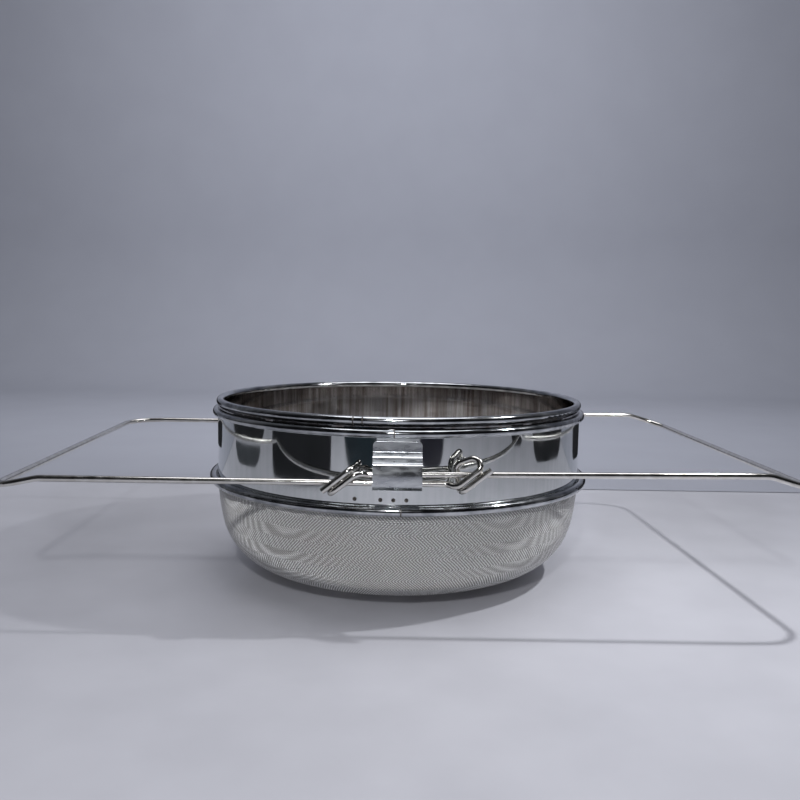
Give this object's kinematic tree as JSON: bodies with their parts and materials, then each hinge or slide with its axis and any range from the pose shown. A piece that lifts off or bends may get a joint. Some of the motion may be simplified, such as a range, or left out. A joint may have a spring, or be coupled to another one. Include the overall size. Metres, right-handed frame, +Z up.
{
  "type": "double sieve strainer",
  "caption": "Round steel honey strainer: a coarse mesh sieve nests in a deeper fine mesh bowl, carried on sliding wire arms that span a bucket.",
  "frame": {"origin": "middle of the fine bowl's flat bottom, which rests on Z = 0, on the axis of both sieves", "axes": "+Z up along the sieves' axis, X along the sliding arms, with the left arm towards -X, and the front clip at -Y"},
  "size_m": [0.4437, 0.2582, 0.114],
  "materials": {
    "polished_steel": "mirror polished",
    "satin_steel": "satin",
    "steel_wire": "drawn and polished",
    "weld_metal": "discoloured by spot welding",
    "fine_mesh": "fine woven wire",
    "coarse_mesh": "coarse woven wire"
  },
  "bodies": {
    "lower_sieve": {"lower_band": "polished_steel", "lower_rim_channel": "polished_steel", "lower_rim_wire": "steel_wire", "hem_channel": "polished_steel", "hem_wire": "steel_wire", "fine_mesh_bowl": "fine_mesh", "front_clip": "satin_steel", "rear_clip": "satin_steel", "band_spot_welds": "weld_metal"},
    "upper_sieve": {"upper_band": "polished_steel", "upper_rim_channel": "polished_steel", "upper_rim_wire": "steel_wire", "upper_hem_channel": "polished_steel", "coarse_mesh_dish": "coarse_mesh"},
    "left_arm_body": {"left_arm": "steel_wire"},
    "right_arm_body": {"right_arm": "steel_wire"}
  },
  "joints": [
    {"name": "upper_lift", "type": "slide", "parent": "lower_sieve", "child": "upper_sieve", "axis": [0, 0, 1], "range_m": [0, 0.09]},
    {"name": "left_arm_slide", "type": "slide", "parent": "lower_sieve", "child": "left_arm_body", "axis": [-1, 0, 0], "range_m": [-0.055, 0.012]},
    {"name": "right_arm_slide", "type": "slide", "parent": "lower_sieve", "child": "right_arm_body", "axis": [0.9999, 0, 0.0105], "range_m": [-0.055, 0.003]}
  ]
}
